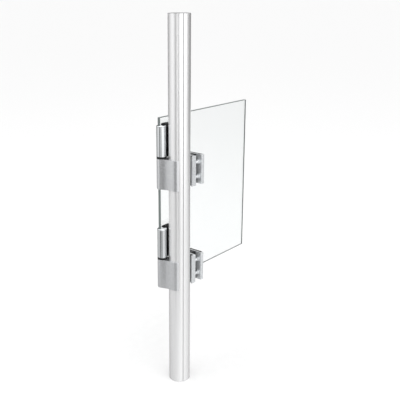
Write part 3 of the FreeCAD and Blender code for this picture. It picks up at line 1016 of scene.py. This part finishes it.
for side in SIDES:
    place(crisp(bracket(side)), "frame", side + "_bracket", "zinc_steel", zinc_plate)
    place(crisp(jaw(side)), "frame", side + "_jaw", "zinc_steel", zinc_plate)
    place(crisp(saddle(side)), "frame", side + "_saddle", "black_plastic", black_plastic)
    place(crisp(jaw_core(side)), "frame", side + "_jaw_core", "black_plastic", black_plastic)
    spacer = block(side + "_spacer_moulded", side + "_spacer", (0.6 * MM, 1.5 * MM, 1.5 * MM, 0.6 * MM))
    place(crisp(spacer), "frame", side + "_spacer", "black_plastic", black_plastic)

# %% [markdown]
# ## The foot
# A turned plug closes the tube's foot and takes the floor bolt in a thread.

# %% Foot insert
foot_bore = 5.1 * MM
foot_pitch = 1.75 * MM
foot_thread_depth = 0.6 * MM
foot_mouth = 0.5 * MM


def foot_insert():
    """Ring with an inner thread, as one closed profile. The thread's depth is
    negative, because a bore's ridge is cut outwards."""
    low, high = corners("foot_insert")
    outer = (high[0] - low[0]) / 2
    mouth = foot_bore + foot_mouth
    wall = rounded([(outer, low[2]), (outer, high[2]), (mouth, high[2])], (0.3 * MM, 1.0 * MM, 0), closed=False)
    inside = shank_rows(foot_bore, low[2], high[2], foot_pitch)[::-1]
    ridge = thread(low[2], high[2], foot_bore, foot_pitch, -foot_thread_depth)
    return turned("foot_insert_threaded", np.concatenate([[(mouth, low[2])], wall, inside]),
                  (0, 0, 0), "+z", 72, ridge)


place(crisp(foot_insert()), "frame", "foot_insert", "turned_steel", machine_steel)

# %% [markdown]
# ## Light
# Polished metal is a picture of the room, so the room is what gets designed.
# The studio is a world shader: how bright it is depends on the direction,
# first round the horizon, as softboxes with dark gaps between them, and then
# with height, because towards the floor everything turns into one pale
# surface. Each step below is a bearing from the camera, in degrees, and a
# brightness. The heights between which one part of the room fades into the
# next are given as the upright share of a direction: -1 is straight down.

# %% Studio room
CAMERA_AZIMUTH = np.radians(40.093)
CAMERA_PITCH = np.radians(15.422)
CEILING_LEVEL = 1.25
UPPER = [(-180, 0.15), (-150, 0.2), (-132, 0.3), (-114, 0.44), (-96, 0.85), (-74, 1.1), (-60, 1.0),
         (-50, 0.8), (-43, 0.22), (-31, 0.22), (-26, 0.7), (-23, 1.35), (-18, 1.35), (-14, 0.2), (-6, 0.2),
         (-2, 1.0), (12, 1.5), (58, 1.6), (74, 1.2), (88, 0.7), (101, 0.25), (114, 0.05), (150, 0.03), (180, 0.15)]
LOWER = [(-180, 0.25), (-150, 0.35), (-126, 0.6), (-110, 0.68), (-92, 0.67), (-70, 0.66), (-50, 0.54),
         (-44, 0.12), (-28, 0.12), (-23, 0.7), (-17, 0.9), (-13, 0.2), (0, 0.25), (8, 0.6), (22, 0.97),
         (60, 0.9), (87, 0.8), (105, 0.6), (122, 0.4), (150, 0.2), (180, 0.25)]
FLOOR = [(-180, 0.35), (-130, 0.44), (-100, 0.54), (-60, 0.62), (-15, 0.83), (8, 1.05), (50, 0.97), (90, 0.8),
         (130, 0.5), (180, 0.35)]
FLOOR_TO_LOWER = (-0.48, -0.37)
LOWER_TO_UPPER = (-0.36, -0.12)
UPPER_TO_CEILING = (0.35, 0.7)
WHITE = (1.0, 1.0, 1.0, 1)


def studio_room():
    """World whose brightness follows the bearing: a ramp for the walls' upper
    part, one for their lower part, a smooth one for the floor, an even
    ceiling, and soft steps between them by height. The camera sees plain
    white, straight on and through the pane."""
    world = bpy.data.worlds.new("studio_room")
    bpy.context.scene.world = world
    world.use_nodes = True
    tree = world.node_tree
    tree.nodes.clear()
    add = node_adder(tree)
    top = max(level for _, level in UPPER + LOWER + FLOOR)
    direction = add("ShaderNodeTexCoord").outputs["Generated"]
    turned_room = add("ShaderNodeVectorRotate", {"Vector": direction, "Angle": np.pi / 2 - CAMERA_AZIMUTH},
                      rotation_type="Z_AXIS")
    parts = add("ShaderNodeSeparateXYZ", {"Vector": turned_room.outputs["Vector"]}).outputs
    angle = add("ShaderNodeMath", {0: parts["Y"], 1: parts["X"]}, operation="ARCTAN2").outputs[0]
    share = add("ShaderNodeMapRange", {"Value": angle, "From Min": -np.pi, "From Max": np.pi}).outputs["Result"]

    def ramp(steps):
        node = add("ShaderNodeValToRGB", {"Fac": share})
        elements = node.color_ramp.elements
        for degrees, _ in steps[1:-1]:
            elements.new((degrees + 180) / 360)
        for element, (_, level) in zip(elements, steps):
            element.color = (level / top, level / top, level / top, 1)
        return node.outputs["Color"]

    def fade(heights, below, above):
        start, end = heights
        upward = add("ShaderNodeMapRange", {"Value": parts["Z"], "From Min": start, "From Max": end},
                     interpolation_type="SMOOTHSTEP").outputs["Result"]
        node = add("ShaderNodeMix", {"Factor": upward, "A": below, "B": above}, data_type="FLOAT")
        return node.outputs["Result"]

    walls = fade(LOWER_TO_UPPER, fade(FLOOR_TO_LOWER, ramp(FLOOR), ramp(LOWER)), ramp(UPPER))
    level = fade(UPPER_TO_CEILING, walls, CEILING_LEVEL / top)
    strength = add("ShaderNodeMath", {0: level, 1: top}, operation="MULTIPLY").outputs[0]
    room = add("ShaderNodeBackground", {"Color": WHITE, "Strength": strength})
    plain = add("ShaderNodeBackground", {"Color": WHITE, "Strength": 1.0})
    path = add("ShaderNodeLightPath").outputs
    seen = add("ShaderNodeMath", {0: path["Is Camera Ray"], 1: path["Is Transmission Ray"]}, operation="MAXIMUM")
    mix = add("ShaderNodeMixShader", {0: seen.outputs[0], 1: room.outputs[0], 2: plain.outputs[0]})
    add("ShaderNodeOutputWorld", {"Surface": mix.outputs[0]})


studio_room()


# %% [markdown]
# One large area light from above gives the floor its soft shadow. The floor is
# a plain pale sheet. It is left out of glossy reflections, so that the metal
# shows the room and not the sheet's far edge.

# %% Floor and lamp
def floor():
    """Square sheet at the foot of the post."""
    reach = 80.0
    points = np.array([(-reach, -reach, 0), (reach, -reach, 0), (reach, reach, 0), (-reach, reach, 0)], float)
    sheet = piece_from_mesh("floor", points, [(0, 1, 2, 3)])
    material, shader, add, link = new_material("floor_paper")
    noise = stretched_noise(add, (60, 60, 60))
    link(tint(add, between(add, noise, 0, 1), (0.88, 0.88, 0.88), (0.90, 0.90, 0.90)), shader.inputs["Base Color"])
    shader.inputs["Roughness"].default_value = 0.9
    shader.inputs["Specular IOR Level"].default_value = 0.0
    sheet.data.materials.append(material)
    sheet.visible_glossy = False


def soft_lamp(name, location, target, size, power):
    """Square area light that faces a point."""
    data = bpy.data.lights.new(name, "AREA")
    data.size = size
    data.energy = power
    lamp = into_scene(name, data)
    lamp.location = location
    lamp.rotation_mode = "QUATERNION"
    lamp.rotation_quaternion = (Vector(target) - Vector(location)).to_track_quat("-Z", "Y")


floor()
soft_lamp("overhead", location=(0.3, -0.5, 2.6), target=(0, 0, 0.3), size=2.2, power=14)

# %% [markdown]
# ## Camera
# The camera looks at the post from the front right and a little down. Its
# place was found by fitting known lengths of the model to the photograph. The
# small shift keeps the post where the photograph has it.

# %% Camera
def photo_camera():
    """Camera with its azimuth and pitch, set as the scene's camera."""
    data = bpy.data.cameras.new("photo_camera")
    data.sensor_width = 36.0
    data.lens = 58.5
    data.shift_x = 0.0491
    data.shift_y = -0.0675
    camera = into_scene("photo_camera", data)
    camera.location = (0.76857, -0.91015, 0.76691)
    camera.rotation_euler = (np.pi / 2 - CAMERA_PITCH, 0, CAMERA_AZIMUTH)
    bpy.context.scene.camera = camera


photo_camera()
bpy.context.scene.view_settings.view_transform = "Standard"
